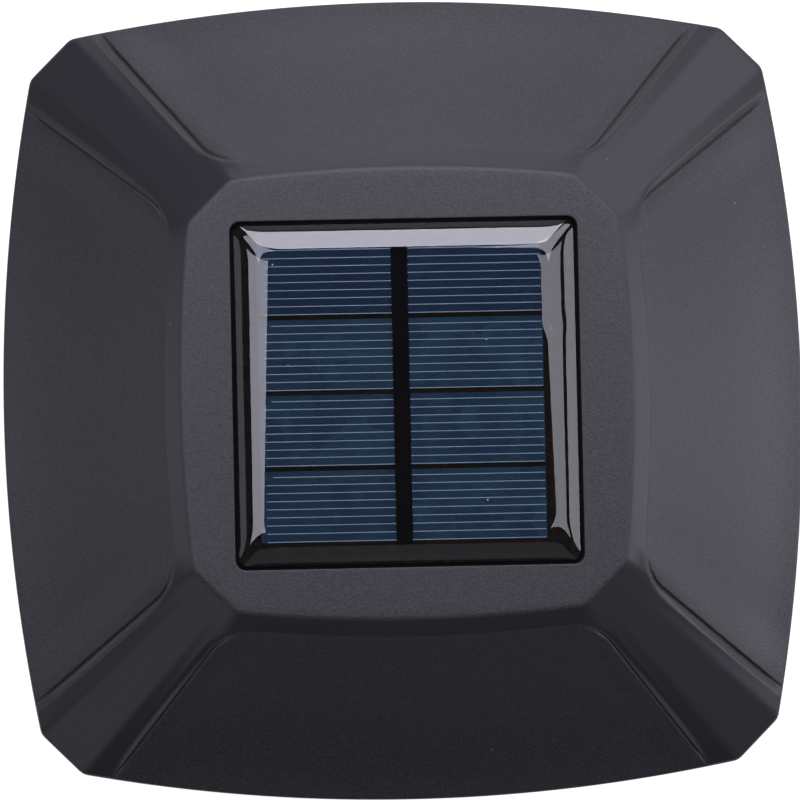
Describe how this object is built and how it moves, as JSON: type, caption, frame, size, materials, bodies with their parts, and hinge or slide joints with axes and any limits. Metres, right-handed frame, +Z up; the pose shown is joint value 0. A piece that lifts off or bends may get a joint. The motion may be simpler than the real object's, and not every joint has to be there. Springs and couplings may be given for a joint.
{
  "type": "solar post cap light",
  "caption": "Square bowed post cap lamp with a solar panel set in its hipped roof, a frosted lens ring and a ribbed skirt that slips over a timber post.",
  "frame": {"origin": "on the post's axis, at the level of the skirt's lower edge", "axes": "+Z up along the post's axis; +X along the solar cells and the battery; the battery door's hinge is on the +Y side"},
  "size_m": [0.16, 0.16, 0.0967],
  "materials": {
    "roof_plastic": "moulded black ABS with a spark-eroded grain",
    "body_plastic": "moulded black ABS with a fine grain",
    "knob_plastic": "moulded grey ABS",
    "solar_silicon": "polycrystalline silicon with silver fingers",
    "black_tape": "black adhesive tape",
    "clear_resin": "clear cast resin with a domed edge",
    "panel_laminate": "black glass-fibre laminate",
    "silicone_sealant": "black silicone",
    "lead_insulation": "extruded insulation",
    "seal_rubber": "die-cut closed-cell rubber",
    "screw_steel": "plated steel",
    "lamp_laminate": "white solder mask",
    "led_phosphor": "phosphor in a white package",
    "frosted_acrylic": "moulded acrylic, frosted inside",
    "white_plastic": "moulded white ABS",
    "circuit_laminate": "green solder mask",
    "black_component": "moulded component body",
    "capacitor_can": "drawn can",
    "battery_sleeve": "shrunk sleeve",
    "nickel_strip": "nickel-plated strip"
  },
  "bodies": {
    "lamp": {"roof_shell": "roof_plastic", "panel_sealant": "silicone_sealant", "panel_board": "panel_laminate", "solar_cells": "solar_silicon", "busbar_tape": "black_tape", "panel_resin": "clear_resin", "panel_leads": "lead_insulation", "soffit_plate": "body_plastic", "roof_seal": "seal_rubber", "roof_screws": "screw_steel", "led_board": "lamp_laminate", "leds": "led_phosphor", "led_board_screws": "screw_steel", "led_leads": "lead_insulation", "lens": "frosted_acrylic", "lens_seal_top": "seal_rubber", "lens_seal_bottom": "seal_rubber", "reflector_cover": "white_plastic", "reflector_screws": "screw_steel", "chassis_plate": "body_plastic", "chassis_seal": "seal_rubber", "circuit_board": "circuit_laminate", "circuit_board_screws": "screw_steel", "driver_chip": "black_component", "choke_coil": "black_component", "capacitor": "capacitor_can", "battery_cell": "battery_sleeve", "battery_contact": "nickel_strip", "battery_spring": "nickel_strip", "battery_leads": "lead_insulation", "switch_body": "black_component", "base_collar": "body_plastic", "tie_screws": "screw_steel"},
    "battery_door": {"battery_door": "body_plastic"},
    "switch_knob": {"switch_knob": "knob_plastic"}
  },
  "joints": [
    {"name": "battery_door_hinge", "type": "hinge", "parent": "lamp", "child": "battery_door", "pos_m": [0, 0.0111, 0.0364], "axis": [1, 0, 0], "range_deg": [0, 100]},
    {"name": "switch_slide", "type": "slide", "parent": "lamp", "child": "switch_knob", "axis": [1, 0, 0], "range_m": [0, 0.004]}
  ]
}
